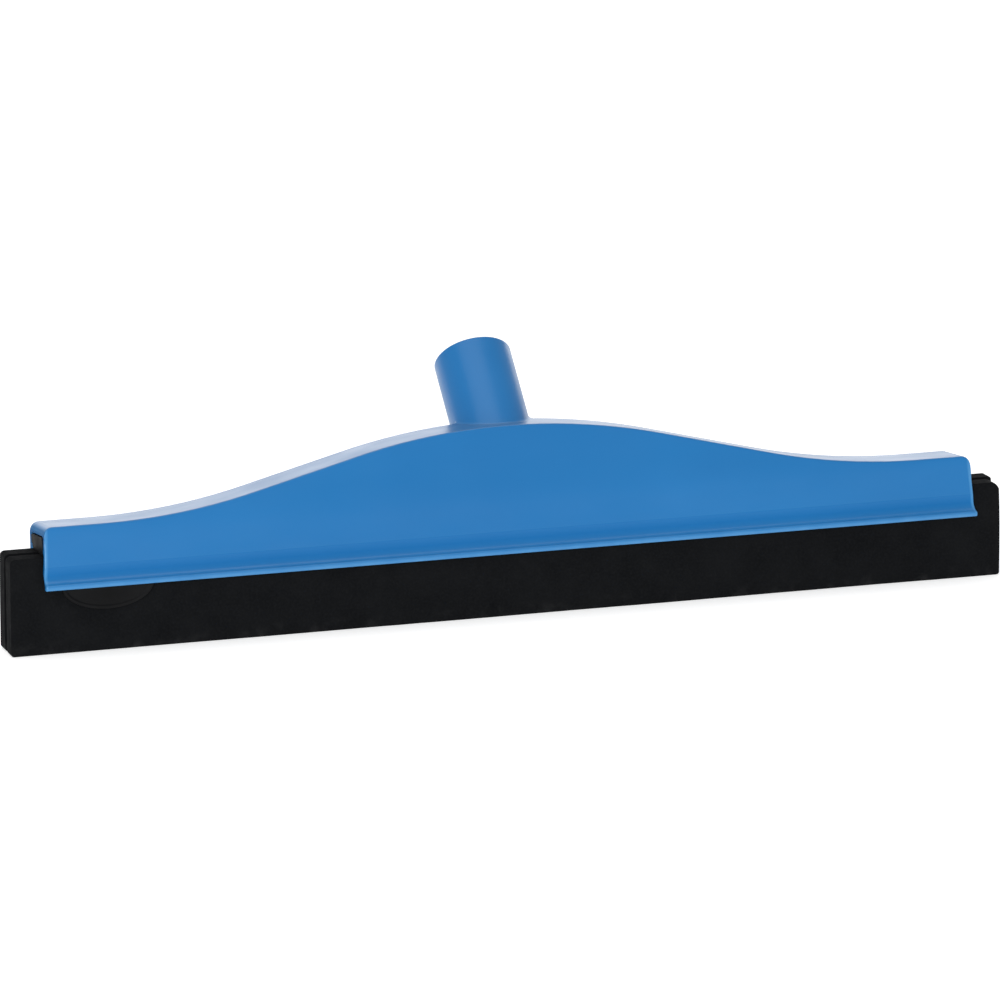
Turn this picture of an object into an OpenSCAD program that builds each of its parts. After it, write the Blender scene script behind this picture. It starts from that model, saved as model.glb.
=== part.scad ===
// Floor squeegee head with a replaceable two-lip rubber cassette.
// X runs along the blade, the front faces -Y, and the lips stand on Z = 0.
// The origin is the middle of the whole footprint, on the floor.

/* [Blade] */
// Length of the two rubber lips
blade_len = 500; // [480:5:700]
// Height of the lips, from the floor to their top edge
lip_h = 46.8; // [45:0.1:47.4]
// Thickness of one lip
lip_t = 9; // [8:0.5:9]
// Gap between the lips, filled by the web of the rail
lip_gap = 3.2; // [3:0.1:3.4]
// Radius of the lips' corners, seen from the front
lip_corner_r = 2.5; // [2:0.5:6]

/* [Head] */
// How far the lips stand out past the top of the head at each end
overhang = 16.6; // [14:0.2:20]
// How much further out each end of the head is at its foot
end_draft = 1.6; // [0:0.2:3]
// Height of the head's front top edge at its ends
end_h = 61; // [60:0.5:64]
// Height that the hump adds in the middle
hump_rise = 30.8; // [28:0.2:34]
// Half of the hump's length
hump_half = 206; // [200:1:210]
// Steepest slope of the hump's flanks, in degrees
hump_slope = 13.5; // [13:0.1:14.5]
// Fall of the roof from front to back, in degrees
roof_fall = 6; // [0:0.5:8]
// Wall thickness of the head
wall = 2.4; // [2:0.1:2.4]
// Roof thickness of the head
roof_t = 3; // [2:0.1:3.5]
// Height of the head's lower edge above the floor
foot_z = 32.2; // [31.8:0.1:32.6]
// Half of the depth of the head across its lower rims
foot_half = 18; // [17.5:0.1:19]

/* [Handle socket] */
// Lean of the socket back from upright, in degrees
socket_lean = 45; // [42:0.5:48]
// Outer radius of the socket
socket_r = 18.9; // [18.5:0.1:19.5]
// Radius of the threaded hole, at the root of the thread
thread_r = 11; // [10.5:0.1:12]
// Depth of the threaded hole
thread_depth = 42; // [36:1:44]
// Distance of the rim's centre behind the blade
rim_y = 59.2; // [56:0.1:62]
// Height of the rim's centre
rim_z = 112.1; // [110:0.1:114]

/* [Cassette] */
// Thickness of the clamp strips
strip_t = 1.6; // [1.4:0.1:1.6]
// Radius of a rivet's shank
rivet_r = 1.6; // [1.2:0.1:1.8]
// Distance between rivets in the middle of the blade
rivet_pitch = 50; // [40:1:50]

/* [Release tabs] */
// Distance of each tab's middle from the middle of the blade
tab_x = 203.9; // [200:0.1:206]
// Half of the width of a tab
tab_half = 22.3; // [18:0.1:23]
// Height of a tab's lowest point
tab_low_z = 21; // [20:0.5:24]

/* [Hidden] */

eps = 0.01;
long = 900;        // longer than any part of the head
deep = 60;         // further back or up than the head reaches
clear = 0.3;       // running clearance between the cassette and the head
fit = clear + 0.1; // clearance round the plate, the ledges and the end block

// Lips
lip_in = lip_gap / 2;
lip_out = lip_in + lip_t;

// Ends of the head and of the cassette's hard parts
end_half = blade_len / 2 - overhang;
end_corner_r = 4;
stop_t = 2.1;
stop_inset = 0.2;
rail_half = end_half - stop_t - clear;

// Cassette, from the top of the lips up
strip_out = lip_out + 0.1;
strip_in = strip_out - strip_t;
plate_t = 1.2;
plate_half = strip_in + 0.4;
waist_half = 6.2;
waist_top = lip_h + 3.6;
tee_half = 8.5;
tee_top = lip_h + 6;
tee_groove = 2.6;
tee_groove_t = 1;
web_z = 28;
block_t = 3;
block_out = 0.4;
block_front_z = end_h - 5.2;
block_back_z = end_h - 7.6;
strip_z = 33.5;
strip_top = lip_h - 0.4;

// Inside of the head: the channel, the two ledges and the hollow over them
channel_half = strip_out + clear;
shoulder_z = lip_h + fit;
shoulder_half = plate_half + fit;
ledge_z = lip_h + plate_t + fit;
ledge_top = waist_top - clear;
ledge_in = waist_half + fit;
channel_bend_z = foot_z + 7.3;
channel_flare_z = foot_z + 1.8;
hollow_z = tee_top + 0.8;

// Outside of the head, as distances in front of and behind the blade's middle
rim_h = 2.6;
cove_r = 4.6;
neck_y = foot_half - 0.1 - cove_r;
neck_z = foot_z + 10;
face_low = [10.4, 58];
face_mid = [8.2, 65];
face_top = [-7.5, 103];
depth_top = 27;
cut_y = face_low[0];

// Inner faces of the front and back walls at a height below face_low
front_slope = (neck_y - face_low[0]) / (face_low[1] - neck_z);
back_slope = (depth_top - face_low[0] - neck_y) / (face_low[1] - neck_z);
function front_in(z) = -neck_y + wall + front_slope * (z - neck_z);
function back_in(z) = neck_y - wall + back_slope * (z - neck_z);

// Hump: two arcs of one radius with a straight flank between them
hump_r = (hump_half * tan(hump_slope) - hump_rise) * cos(hump_slope) / (1 - cos(hump_slope)) / 2;
crown_x = hump_r * sin(hump_slope);
arc_h = hump_r * (1 - cos(hump_slope));

// Stiffening ribs across the hollow
rib_t = 2;
rib_pitch = 40;
rib_count = 5;

// Socket
sleeve_r = thread_r + 2.6;
socket_wall = 3;
socket_floor = 4;
socket_reach = 92;
spoke_t = 1.6;
spoke_count = 8;
spoke_drop = 5;

// Rivets
rivet_z = 39.5;
rivet_head_r = 2.8;
rivet_head_t = 0.8;
rivet_play = 0.1;
rivet_sunk = 0.05; // how far the heads lie under the strips' faces
rivet_inset = 5;   // from the end of the rail to its last rivet
rivet_end_x = rail_half - rivet_inset;
rivet_rows = [for (i = [-3.5 : 3.5]) i * rivet_pitch];
rivet_xs = concat([-rivet_end_x], rivet_rows, [rivet_end_x]);

// Release tabs
tab_t = 1.7;
tab_neck_half = 15;
tab_face_y = foot_half - wall - 0.7;
tab_hinge_y = strip_out - 0.72;
tab_hinge_z = 40.6;
tab_hinge_r = 0.6;
tab_leaf_t = 0.9;
tab_leaf_h = 2.4;  // straight part of the leaf under the bead
tab_step_h = 0.8;  // height of the step over the hanging plate
tab_top_z = 33;
notch_gap = 0.5;
notch_top = tab_hinge_z + 1.2;
tab_rim_w = 1.8;
tab_rim_t = 0.5;

// The footprint runs from the front rim to the back of the socket's mouth
back_y = rim_y + socket_r * cos(socket_lean);
middle_y = (back_y - foot_half) / 2;

// Puts a shape drawn about the blade's middle plane into the part's frame
module in_frame() {
    translate([0, -middle_y, 0]) children();
}

// Extrudes a (y, z) outline along X
module along_x(len) {
    rotate([90, 0, 90]) linear_extrude(len, center = true) children();
}

// Extrudes an (x, z) outline from y0 to y1
module along_y(y0, y1) {
    translate([0, y1, 0]) rotate([90, 0, 0]) linear_extrude(y1 - y0) children();
}

// Turns a front part round to make the same part at the back
module turned() {
    rotate([0, 0, 180]) children();
}

// Places a shape on the socket's axis, with its +Z out of the mouth and the rim at z = 0
module on_socket() {
    translate([0, rim_y, rim_z]) rotate([-socket_lean, 0, 0]) children();
}

// Everything that lies behind the front face by at least gap, from z0 up
module behind_face(gap, z0) {
    along_x(3 * socket_r)
        intersection() {
            polygon([
                [-neck_y + gap, 0],
                [-neck_y + gap, neck_z],
                [-face_low[0] + gap, face_low[1]],
                [-face_mid[0] + gap, face_mid[1]],
                [-face_top[0] + gap, face_top[1]],
                [-face_top[0] + gap, long],
                [long, long],
                [long, 0]
            ]);
            translate([-long, z0]) square(3 * long);
        }
}

// ---- Head ----

// Front view of the head: drafted ends, flat shoulders and the hump, lowered by drop
module head_outline(drop, half) {
    top = end_h - drop;
    difference() {
        union() {
            polygon([
                [-half - end_draft, foot_z - 2],
                [half + end_draft, foot_z - 2],
                [half, top - end_corner_r],
                [half - end_corner_r, top],
                [-half + end_corner_r, top],
                [-half, top - end_corner_r]
            ]);
            for (side = [-1, 1])
                translate([side * (half - end_corner_r), top - end_corner_r])
                    circle(end_corner_r, $fn = 64);
            polygon([
                [-hump_half, top - 1],
                [-hump_half, top],
                [-hump_half + crown_x, top + arc_h],
                [-crown_x, top + hump_rise - arc_h],
                [crown_x, top + hump_rise - arc_h],
                [hump_half - crown_x, top + arc_h],
                [hump_half, top],
                [hump_half, top - 1]
            ]);
            intersection() {
                translate([0, top + hump_rise - hump_r]) circle(hump_r, $fn = 720);
                translate([-crown_x, top]) square([2 * crown_x, hump_rise + 1]);
            }
        }
        for (side = [-1, 1])
            translate([side * hump_half, top + hump_r]) circle(hump_r, $fn = 720);
    }
}

// The outline carried from front to back, falling as the roof does
module head_block(drop, half) {
    translate([0, -cut_y, end_h])
        rotate([-roof_fall, 0, 0])
            translate([0, 0, -end_h])
                along_y(-deep, 2 * deep) head_outline(drop, half);
}

// End view of the outside: rims, coves and the two faces that lean back together
module outer_section() {
    difference() {
        polygon([
            [-foot_half, foot_z],
            [-foot_half, foot_z + rim_h],
            [-neck_y, foot_z + rim_h + cove_r],
            [-neck_y, neck_z],
            [-face_low[0], face_low[1]],
            [-face_mid[0], face_mid[1]],
            [-face_top[0], face_top[1]],
            [-face_top[0] + depth_top, face_top[1]],
            [-face_mid[0] + depth_top, face_mid[1]],
            [-face_low[0] + depth_top, face_low[1]],
            [neck_y, neck_z],
            [neck_y, foot_z + rim_h + cove_r],
            [foot_half, foot_z + rim_h],
            [foot_half, foot_z]
        ]);
        for (side = [-1, 1])
            translate([side * (neck_y + cove_r), foot_z + rim_h + cove_r])
                circle(cove_r, $fn = 64);
    }
}

// End view of the channel under the ledges and of the slot between them
module channel_section() {
    polygon([
        [-foot_half + wall, foot_z - 3],
        [-foot_half + wall, channel_flare_z],
        [-channel_half, channel_bend_z],
        [-channel_half, shoulder_z],
        [-shoulder_half, ledge_z],
        [shoulder_half, ledge_z],
        [channel_half, shoulder_z],
        [channel_half, channel_bend_z],
        [foot_half - wall, channel_flare_z],
        [foot_half - wall, foot_z - 3]
    ]);
    translate([-ledge_in, ledge_z - 1]) square([2 * ledge_in, ledge_top - ledge_z + 2]);
}

// End view of the hollow over the ledges
module hollow_section() {
    polygon([
        [front_in(ledge_top), ledge_top],
        [-face_low[0] + wall, face_low[1]],
        [-face_mid[0] + wall, face_mid[1]],
        [-face_top[0] + wall, face_top[1]],
        [-face_top[0] + depth_top - wall, face_top[1]],
        [-face_mid[0] + depth_top - wall, face_mid[1]],
        [-face_low[0] + depth_top - wall, face_low[1]],
        [back_in(ledge_top), ledge_top]
    ]);
}

// End view of the block that closes the open end of the head
module block_section() {
    low = ledge_z + fit;
    polygon([
        [-plate_half, lip_h],
        [front_in(low) + fit, low],
        [front_in(block_front_z) + fit, block_front_z],
        [back_in(block_back_z) - fit, block_back_z],
        [back_in(low) - fit, low],
        [plate_half, low],
        [plate_half, lip_h]
    ]);
}

// The ledges stop short of the open end, which leaves room for the block
module ledge_relief() {
    inner_x = end_half + block_out - block_t - fit;
    translate([-inner_x - deep / 2, 0, 0])
        along_x(deep)
            polygon([
                [front_in(ledge_z - eps), ledge_z - eps],
                [front_in(ledge_top + eps), ledge_top + eps],
                [back_in(ledge_top + eps), ledge_top + eps],
                [back_in(ledge_z - eps), ledge_z - eps]
            ]);
}

// The hollow under the roof, open at both ends
module hollow() {
    intersection() {
        head_block(roof_t, long / 2);
        along_x(long) hollow_section();
    }
}

// Cross ribs that tie the faces to the roof, clear of the rail
module ribs() {
    intersection() {
        along_x(long) hollow_section();
        head_block(roof_t / 2, end_half);
        for (side = [-1, 1], i = [1 : rib_count])
            translate([side * i * rib_pitch - rib_t / 2, -deep, hollow_z]) cube([rib_t, 2 * deep, deep]);
    }
}

// Wall across the right end that the rail stops against
module end_stop() {
    intersection() {
        head_block(0, end_half);
        along_x(long) hollow_section();
        translate([end_half - stop_t, -deep, ledge_top]) cube([stop_t - stop_inset, 2 * deep, deep]);
    }
}

// Spokes between the threaded sleeve and the outer wall of the socket
module socket_spokes() {
    for (i = [0 : spoke_count - 1])
        rotate([0, 0, i * 360 / spoke_count])
            translate([thread_r + 1, -spoke_t / 2, -thread_depth - eps])
                cube([socket_r - thread_r - 2, spoke_t, thread_depth - spoke_drop]);
}

module socket_mouth() {
    difference() {
        translate([0, 0, -thread_depth]) cylinder(r = socket_r - socket_wall, h = thread_depth + 1, $fn = 96);
        translate([0, 0, -thread_depth - 1]) cylinder(r = sleeve_r, h = thread_depth + 3, $fn = 96);
        socket_spokes();
    }
}

// The socket's outside, trimmed so that it grows out of the roof and the back face
module socket_outside() {
    intersection() {
        on_socket() translate([0, 0, -socket_reach]) cylinder(r = socket_r, h = socket_reach, $fn = 96);
        behind_face(wall / 2, neck_z);
    }
}

// The core under the socket's floor, which opens into the hollow of the hump
module socket_core() {
    core_h = socket_reach - thread_depth - socket_floor;
    intersection() {
        on_socket() translate([0, 0, -socket_reach])
            cylinder(r = socket_r - socket_wall, h = core_h, $fn = 96);
        behind_face(wall, ledge_top);
    }
}

module head() {
    color("steelblue") in_frame() {
        difference() {
            union() {
                intersection() {
                    along_x(long) outer_section();
                    head_block(0, end_half);
                }
                socket_outside();
            }
            hollow();
            socket_core();
            along_x(long) channel_section();
            ledge_relief();
            on_socket() socket_mouth();
            on_socket() translate([0, 0, -thread_depth])
                cylinder(r = thread_r, h = thread_depth + 1, $fn = 96);
        }
        ribs();
        end_stop();
    }
}

// ---- Cassette ----

module rivet_holes() {
    for (x = rivet_xs)
        translate([x, 0, rivet_z]) rotate([90, 0, 0])
            cylinder(r = rivet_r + rivet_play, h = deep, center = true, $fn = 32);
}

// Tee that runs in the head, the plate on top of the lips, the web between them and the end block
module cassette_rail() {
    color([0.1, 0.1, 0.11]) in_frame()
        difference() {
            union() {
                along_x(2 * rail_half) {
                    translate([-lip_in, web_z]) square([lip_gap, lip_h - web_z + eps]);
                    translate([-plate_half, lip_h]) square([2 * plate_half, plate_t]);
                    translate([-waist_half, lip_h]) square([2 * waist_half, waist_top - lip_h + eps]);
                    difference() {
                        translate([-tee_half, waist_top]) square([2 * tee_half, tee_top - waist_top]);
                        translate([-tee_groove, tee_top - tee_groove_t])
                            square([2 * tee_groove, 2 * tee_groove_t]);
                    }
                }
                translate([-end_half - block_out + block_t / 2, 0, 0]) along_x(block_t) block_section();
            }
            rivet_holes();
        }
}

// Flat strip that clamps one lip, with a notch for the release tab and sunk rivet seats
module clamp_strip() {
    difference() {
        translate([-rail_half, -strip_out, strip_z]) cube([2 * rail_half, strip_t, strip_top - strip_z]);
        translate([-tab_x - tab_neck_half - notch_gap, -strip_out - 1, strip_z - 1])
            cube([2 * (tab_neck_half + notch_gap), strip_t + 2, notch_top - strip_z + 1]);
        rivet_holes();
        for (x = rivet_xs)
            translate([x, -strip_out - eps, rivet_z]) rotate([-90, 0, 0])
                cylinder(r = rivet_head_r + rivet_play, h = rivet_head_t + eps, $fn = 48);
    }
}

module front_clamp_strip() {
    color([0.12, 0.12, 0.13]) in_frame() clamp_strip();
}

module rear_clamp_strip() {
    color([0.12, 0.12, 0.13]) in_frame() turned() clamp_strip();
}

// Front view of a lip, with rounded corners
module lip_outline() {
    low = lip_corner_r;
    high = lip_h - lip_corner_r;
    half = blade_len / 2;
    translate([-half + low, 0]) square([2 * (half - low), lip_h]);
    translate([-half, low]) square([2 * half, high - low]);
    for (side = [-1, 1], z = [low, high])
        translate([side * (half - low), z]) circle(lip_corner_r, $fn = 48);
}

// One rubber lip, pressed in under its clamp strip
module lip() {
    difference() {
        along_y(-lip_out, -lip_in) lip_outline();
        translate([-rail_half - 1, -lip_out - 1, strip_z - 1])
            cube([2 * rail_half + 2, lip_out - strip_in + 1, lip_h]);
        rivet_holes();
    }
}

module front_lip() {
    color([0.07, 0.07, 0.07]) in_frame() lip();
}

module rear_lip() {
    color([0.07, 0.07, 0.07]) in_frame() turned() lip();
}

// Rivets through both strips, both lips and the web
module rivets() {
    color([0.3, 0.3, 0.32]) in_frame()
        for (x = rivet_xs)
            translate([x, 0, rivet_z]) rotate([90, 0, 0]) {
                cylinder(r = rivet_r, h = 2 * strip_out - rivet_head_t, center = true, $fn = 32);
                for (side = [0, 180])
                    rotate([side, 0, 0]) translate([0, 0, strip_out - rivet_head_t])
                        cylinder(r = rivet_head_r, h = rivet_head_t - rivet_sunk, $fn = 48);
            }
}

// ---- Release tabs ----

// End view of a tab: hinge bead, thin leaf, step forward and hanging plate
module tab_section() {
    leaf_front = -lip_out;
    leaf_back = leaf_front + tab_leaf_t;
    translate([-tab_hinge_y, tab_hinge_z]) circle(tab_hinge_r, $fn = 32);
    polygon([
        [leaf_front, tab_hinge_z],
        [leaf_front, tab_hinge_z - tab_leaf_h],
        [-tab_face_y, tab_top_z + tab_step_h],
        [-tab_face_y, tab_low_z - 1],
        [-tab_face_y + tab_t, tab_low_z - 1],
        [-tab_face_y + tab_t, tab_top_z],
        [leaf_back, tab_hinge_z - tab_leaf_h - 0.6],
        [leaf_back, tab_hinge_z]
    ]);
}

// Front view of a tab: half moon below, narrower neck above
module tab_outline(inset) {
    depth = tab_top_z - tab_low_z;
    translate([0, tab_top_z])
        intersection() {
            scale([(tab_half - inset) / depth, (depth - inset) / depth]) circle(depth, $fn = 96);
            translate([-tab_half, -depth]) square([2 * tab_half, depth]);
        }
}

module release_tab() {
    translate([-tab_x, 0, 0])
        difference() {
            intersection() {
                along_x(2 * tab_half + 2) tab_section();
                along_y(-foot_half, 0) {
                    tab_outline(0);
                    translate([-tab_neck_half, tab_top_z - 1])
                        square([2 * tab_neck_half, tab_hinge_z + 2 - tab_top_z]);
                }
            }
            along_y(-foot_half, -tab_face_y + tab_rim_t) tab_outline(tab_rim_w);
        }
}

module front_release_tab() {
    color([0.14, 0.14, 0.15]) in_frame() release_tab();
}

module rear_release_tab() {
    color([0.14, 0.14, 0.15]) in_frame() turned() release_tab();
}

head();
cassette_rail();
front_clamp_strip();
rear_clamp_strip();
front_lip();
rear_lip();
rivets();
front_release_tab();
rear_release_tab();
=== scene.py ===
import math

import bmesh
import bpy
from mathutils import Matrix, Vector, noise


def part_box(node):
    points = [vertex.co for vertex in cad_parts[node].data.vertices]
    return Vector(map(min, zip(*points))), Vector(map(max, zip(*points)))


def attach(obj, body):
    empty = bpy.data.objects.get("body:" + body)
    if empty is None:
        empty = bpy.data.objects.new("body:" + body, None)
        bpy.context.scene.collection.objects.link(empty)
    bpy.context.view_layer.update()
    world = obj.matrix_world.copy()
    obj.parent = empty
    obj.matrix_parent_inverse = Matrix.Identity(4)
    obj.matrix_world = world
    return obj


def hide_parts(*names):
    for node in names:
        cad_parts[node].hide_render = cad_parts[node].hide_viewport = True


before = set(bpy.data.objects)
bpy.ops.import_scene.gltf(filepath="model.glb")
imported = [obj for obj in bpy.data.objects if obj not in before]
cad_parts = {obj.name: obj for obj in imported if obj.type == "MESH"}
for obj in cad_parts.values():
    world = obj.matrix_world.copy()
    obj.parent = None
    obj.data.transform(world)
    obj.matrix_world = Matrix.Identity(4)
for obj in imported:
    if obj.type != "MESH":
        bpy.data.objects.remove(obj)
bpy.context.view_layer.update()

# Shapes are drawn in millimetres about the middle plane of the blade: x runs along the blade,
# the front faces -y, and the lips stand on z = 0. piece() moves them into the row frame.
MM = 0.001
BLADE_Y = (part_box("front_lip")[0].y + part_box("rear_lip")[1].y) / 2

# ---- Camera ----

VIEW_SIDE = math.radians(18.9)    # camera to the left of straight on
VIEW_DOWN = math.radians(14.33)   # camera above the floor's level
VIEW_DISTANCE = 2.99
VIEW_LENS = 223.9
AIM_LEFT = 0.0055                 # middle of the picture from the middle of the blade
AIM_UP = 0.0529

# ---- Head ----

HALF = 233.4            # half length at the top
DRAFT = 1.6             # the ends go out by this much over DRAFT_DROP, from DRAFT_TOP down
DRAFT_TOP = 57.0
DRAFT_DROP = 26.8
CORNER_R = 4.0          # corner of the front view
END_TOP = 61.0          # height of the shoulders in the front view
HUMP_RISE = 30.8        # hump over the shoulders
HUMP_HALF = 206.0
FLANK = math.radians(13.5)
HUMP_R = (HUMP_HALF * math.tan(FLANK) - HUMP_RISE) * math.cos(FLANK) / (1 - math.cos(FLANK)) / 2
CROWN_X = HUMP_R * math.sin(FLANK)
ARC_H = HUMP_R * (1 - math.cos(FLANK))
ROOF_FALL = math.radians(6)
CUT_Y = -10.4           # the front view's outline is true here
ROOF_T = 3.0
WALL = 2.4
FOOT_Z = 32.2
FOOT_HALF = 18.0
RIM_TOP = 34.8
NECK_HALF = 13.3
NECK_TOP = 42.2
COVE_R = 4.6            # hollow corner between the rim and the neck
FACE_BEND_Z = 56.0      # the front face leans back more and more from here
FACE_STRAIGHT_Z = 67.0  # up to here
LEAN_LOW = 0.1835       # its lean below the bend and above it, per unit of height
LEAN_HIGH = 0.413
BACK_SPREAD = 15.8      # height over the neck in which the back face reaches the full depth
DEPTH = 27.0            # front face to back face
MOUTH_HALF = 15.6       # flared mouth under the channel
CHANNEL_HALF = 11.0
SLOT_HALF = 6.6         # slot between the ledges
LEDGE_Z = 48.4
LEDGE_TOP = 50.1
RIB_Z = 53.6            # lower edge of the ribs in the hollow
RIB_PITCH = 40.0
RIB_COUNT = 5           # on each side of the middle
RIB_T = 2.0
STOP_X = (231.2, 233.0)
END_ROUND = 0.8         # rounded edge round each end
CEILING_DIP = 1.5       # the roof is thicker at its ends
MOUTH_ROUND = 0.4       # rounded edge inside each end

# ---- Socket ----

LEAN = math.radians(45)
RIM_CENTRE = Vector((0, 59.2, 112.1))
SOCKET_R = 18.9
SOCKET_WALL = 3.0
SLEEVE_R = 13.6
THREAD_R = 11.0
THREAD_DEPTH = 42.0
SOCKET_FLOOR = 4.0      # between the thread's end and the core
SOCKET_REACH = 92.0     # its tube starts this deep, inside the hump
ROOT_FILLET = 2.2
SPOKES = 8
SPOKE_T = 1.6
SPOKE_DROP = 5.0        # spokes start below the rim
THREAD_PITCH = 5.0
THREAD_RIDGE = 1.1

# ---- Cassette ----

LIP_IN = 1.6            # faces of each lip, from the middle plane
LIP_OUT = 10.6
LIP_H = 46.8
LIP_HALF = 250.0
RAIL_HALF = 231.0
STRIP_OUT = 10.7
STRIP_T = 1.6
STRIP_LOW = 33.5
STRIP_TOP = 46.4
NOTCH_HALF = 15.5       # notch in the strip over the tab's neck
NOTCH_TOP = 41.8
WEB_LOW = 28.0
PLATE_HALF = 9.5
PLATE_TOP = 48.0
TEE_NECK_HALF = 6.2
TEE_LOW = 50.4
TEE_TOP = 52.8
TEE_HALF = 8.5
GROOVE_HALF = 2.6       # groove along the tee's top
GROOVE_DEPTH = 1.0
BLOCK_X = (-233.8, -230.8)
BLOCK_TOP_FRONT = 55.8
BLOCK_TOP_BACK = 53.4
RIVET_Z = 39.5
RIVET_END_X = 226.0
RIVET_PITCH = 50.0
RIVET_XS = [-RIVET_END_X] + [RIVET_PITCH * i / 2 for i in range(-7, 8, 2)] + [RIVET_END_X]
RIVET_R = 1.6
RIVET_HOLE_R = 1.7
SEAT_R = 2.9
SEAT_DEPTH = 0.8
TAB_X = 203.9
TAB_HALF = 22.3
TAB_LOW = 21.0
TAB_TOP = 33.0
TAB_FACE = -14.9
TAB_T = 1.7
TAB_NECK_HALF = 15.0

# ---- Light ----

FLOOR_GLOW = 0.55       # the table is lit from below
ROOM_LIGHT = 0.46

# ---- Colours, linear red, green and blue ----

BLUE_DEEP = (0.0050, 0.153, 0.416)
BLUE_LIGHT = (0.0074, 0.170, 0.450)
BLUE_FLOW = (0.0062, 0.146, 0.402)
# painted shade for the hollow under the crease, down to the rim
BLUE_COVE_SHADE = (0.0030, 0.102, 0.322)
# painted highlight for the rounded foot rim and end edges
BLUE_EDGE_HIGHLIGHT = (0.085, 0.310, 0.600)
# painted shade for the end faces
BLUE_END_SHADE = (0.0030, 0.055, 0.170)
# painted grey sheen for the top faces of the head
TOP_SHEEN_GREY = (0.20, 0.23, 0.26)
RUBBER_DARK = (0.0042, 0.0046, 0.0054)
RUBBER_LIGHT = (0.0066, 0.0071, 0.0080)
RUBBER_GRAIN = (0.0100, 0.0107, 0.0118)
RUBBER_CUT = (0.0080, 0.0085, 0.0095)
RUBBER_DUST = (0.030, 0.030, 0.031)
RAIL_BLACK = (0.0036, 0.0036, 0.0040)
TAB_BLACK = (0.0042, 0.0043, 0.0046)
RIVET_GREY = (0.045, 0.046, 0.049)


# ---------------------------------------------------------------- mesh helpers

def rounded(corners):
    """Closed outline whose corners (u, v, radius, steps) are arcs; a corner of radius 0 is one point."""
    points = []
    for i, (u, v, radius, steps) in enumerate(corners):
        here = Vector((u, v))
        if radius <= 0:
            points.append(here)
            continue
        back = (Vector(corners[i - 1][:2]) - here).normalized()
        ahead = (Vector(corners[(i + 1) % len(corners)][:2]) - here).normalized()
        half = back.angle(ahead) / 2
        centre = here + (back + ahead).normalized() * (radius / math.sin(half))
        reach = radius / math.tan(half)
        start = here + back * reach - centre
        end = here + ahead * reach - centre
        points += [centre + start.slerp(end, k / steps) * radius for k in range(steps + 1)]
    return points


def inset(points, depth):
    """The outline moved inwards by depth; it runs clockwise with u to the right and v up."""
    moved = []
    for i, p in enumerate(points):
        ahead = (points[(i + 1) % len(points)] - p).normalized()
        back = (p - points[i - 1]).normalized()
        along = (ahead + back).normalized()
        spread = max(0.5, along.dot(ahead))
        moved.append(p + Vector((along.y, -along.x)) * (depth / spread))
    return moved


def drawn_in(x, end, radius):
    """How far a rounded edge is drawn in at x, for ends at -end and end."""
    into = min(radius, max(0.0, abs(x) - (end - radius)))
    return radius - math.sqrt(radius ** 2 - into ** 2)


def spaced(low, high, steps):
    """Values from low to high in equal steps."""
    return [low + (high - low) * k / steps for k in range(steps + 1)]


def mirrored(half):
    """Places from 0 up, with their mirror images before them."""
    return [-x for x in half[:0:-1]] + half


def sides(count, rings, closed=False):
    """Quads between neighbouring rings of count points."""
    faces = []
    for i in range(rings if closed else rings - 1):
        a, b = i * count, (i + 1) % rings * count
        faces += [(a + j, a + (j + 1) % count, b + (j + 1) % count, b + j) for j in range(count)]
    return faces


def solid(name, rings, closed=False, ladder=False):
    """Closed mesh through rings of equal length. Its ends are single faces, or ladders of quads."""
    count = len(rings[0])
    last = (len(rings) - 1) * count
    faces = sides(count, len(rings), closed)
    if ladder:
        for j in range((count - 1) // 2):
            rung = tuple(dict.fromkeys((j, j + 1, count - 2 - j, count - 1 - j)))
            faces += [rung, tuple(last + k for k in rung)]
    elif not closed:
        faces += [tuple(range(count)), tuple(last + k for k in range(count))]
    return finish_solid(name, [p for ring in rings for p in ring], faces)


def finish_solid(name, verts, faces):
    mesh = bpy.data.meshes.new(name)
    mesh.from_pydata([tuple(v) for v in verts], [], faces)
    bm = bmesh.new()
    bm.from_mesh(mesh)
    bmesh.ops.recalc_face_normals(bm, faces=bm.faces)
    bm.to_mesh(mesh)
    bm.free()
    obj = bpy.data.objects.new(name, mesh)
    bpy.context.scene.collection.objects.link(obj)
    return obj


def revolve(name, profile, place, steps):
    """Solid of revolution. The profile runs (radius, height) from pole to pole on the axis."""
    verts = [place @ Vector((0, 0, profile[0][1]))]
    for radius, height in profile[1:-1]:
        for k in range(steps):
            turn = 2 * math.pi * k / steps
            verts.append(place @ Vector((radius * math.cos(turn), radius * math.sin(turn), height)))
    verts.append(place @ Vector((0, 0, profile[-1][1])))
    faces = [tuple(1 + k for k in face) for face in sides(steps, len(profile) - 2)]
    first_of_last = 1 + (len(profile) - 3) * steps
    for k in range(steps):
        after = (k + 1) % steps
        faces.append((0, 1 + k, 1 + after))
        faces.append((len(verts) - 1, first_of_last + k, first_of_last + after))
    return finish_solid(name, verts, faces)


def ring_solid(name, profile, place, steps):
    """Solid ring from a closed (radius, height) profile that stays off the axis."""
    rings = []
    for k in range(steps):
        turn = 2 * math.pi * k / steps
        rings.append([place @ Vector((r * math.cos(turn), r * math.sin(turn), h)) for r, h in profile])
    return solid(name, rings, closed=True)


def combine(target, tool, operation):
    """Applies a boolean with tool to target, and removes tool."""
    modifier = target.modifiers.new("combine", "BOOLEAN")
    modifier.operation = operation
    modifier.solver = "MANIFOLD"
    modifier.object = tool
    apply_modifiers(target)
    bpy.data.objects.remove(tool)


def apply_modifiers(obj):
    bpy.context.view_layer.update()
    depsgraph = bpy.context.evaluated_depsgraph_get()
    mesh = bpy.data.meshes.new_from_object(obj.evaluated_get(depsgraph))
    obj.modifiers.clear()
    obj.data = mesh


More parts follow.
